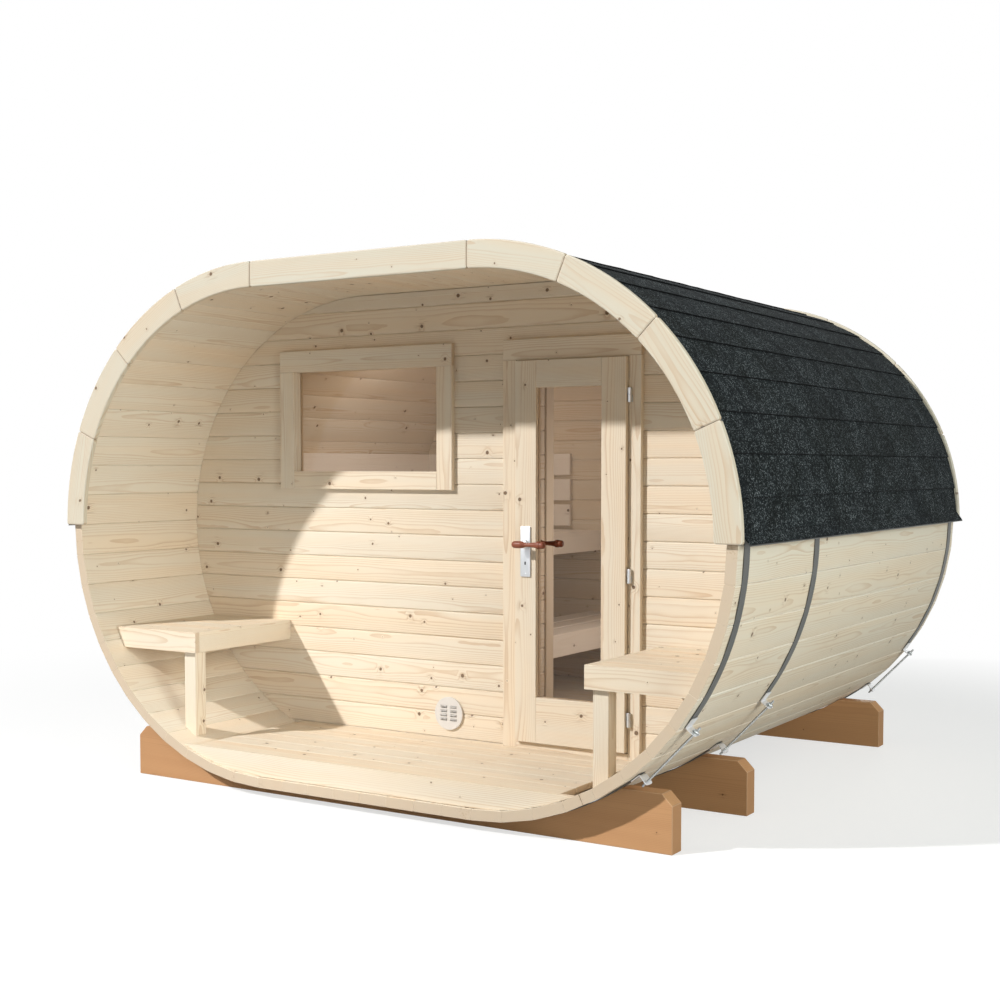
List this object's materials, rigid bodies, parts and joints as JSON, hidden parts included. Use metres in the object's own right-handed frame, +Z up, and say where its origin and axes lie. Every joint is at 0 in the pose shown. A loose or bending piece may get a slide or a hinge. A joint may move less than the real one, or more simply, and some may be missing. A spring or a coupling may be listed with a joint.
{
  "type": "barrel sauna",
  "caption": "Oval timber barrel sauna with a covered porch and benches, a glazed hinged door, a fixed window, a shingle roof, steel hoops and cradle beams.",
  "frame": {"origin": "on the ground under the middle of the barrel, at the centre of the overall footprint", "axes": "X to the right seen from the porch, Y along the barrel from the porch end to the rear end, Z up"},
  "size_m": [2.9912, 2.496, 2.014],
  "materials": {
    "spruce": "bare planed spruce with fine grain and small knots",
    "treated_wood": "brown impregnated softwood",
    "shingle": "charcoal bitumen shingle with mineral granules",
    "zinc_steel": "galvanised steel",
    "satin_steel": "satin steel",
    "white_plastic": "white moulded plastic",
    "stained_wood": "turned wood with red-brown stain",
    "bronze_glass": "bronze tinted safety glass"
  },
  "bodies": {
    "building": {"backrests": "spruce", "bench_bearers": "spruce", "bottom_staves": "spruce", "casing_hinge_halves": "satin_steel", "cradle_front": "treated_wood", "cradle_middle": "treated_wood", "cradle_rear": "treated_wood", "door_casing": "spruce", "door_stops": "spruce", "door_threshold": "spruce", "drip_edges": "zinc_steel", "floor_bearers": "spruce", "front_fascia": "spruce", "front_wall_left_logs": "spruce", "front_wall_pier_logs": "spruce", "front_wall_right_logs": "spruce", "front_wall_sill_log": "spruce", "front_wall_top_logs": "spruce", "hoop_tensioners": "zinc_steel", "hoops": "zinc_steel", "left_porch_bench_seat": "spruce", "lower_bench": "spruce", "lower_left_staves": "spruce", "lower_right_staves": "spruce", "porch_bench_aprons": "spruce", "porch_bench_legs": "spruce", "porch_floor": "spruce", "porch_riser": "spruce", "rear_fascia": "spruce", "rear_wall_logs": "spruce", "right_porch_bench_seat": "spruce", "roof_shingles_left": "shingle", "roof_shingles_right": "shingle", "roof_shingles_top": "shingle", "room_floor": "spruce", "room_screen_batten": "spruce", "room_screen_logs": "spruce", "top_staves": "spruce", "upper_bench": "spruce", "upper_left_staves": "spruce", "upper_right_staves": "spruce", "vent_cover": "white_plastic", "window_beads": "spruce", "window_casing": "spruce", "window_frame": "spruce", "window_glass": "bronze_glass"},
    "door": {"door_stiles": "spruce", "door_rails": "spruce", "door_glass": "bronze_glass", "door_handle_plates": "satin_steel", "door_levers": "stained_wood", "door_hinge_halves": "satin_steel"}
  },
  "joints": [
    {"name": "door_hinge", "type": "hinge", "parent": "building", "child": "door", "pos_m": [0.7615, -0.5903, 0], "axis": [0, 0, 1], "range_deg": [0, 90]}
  ]
}
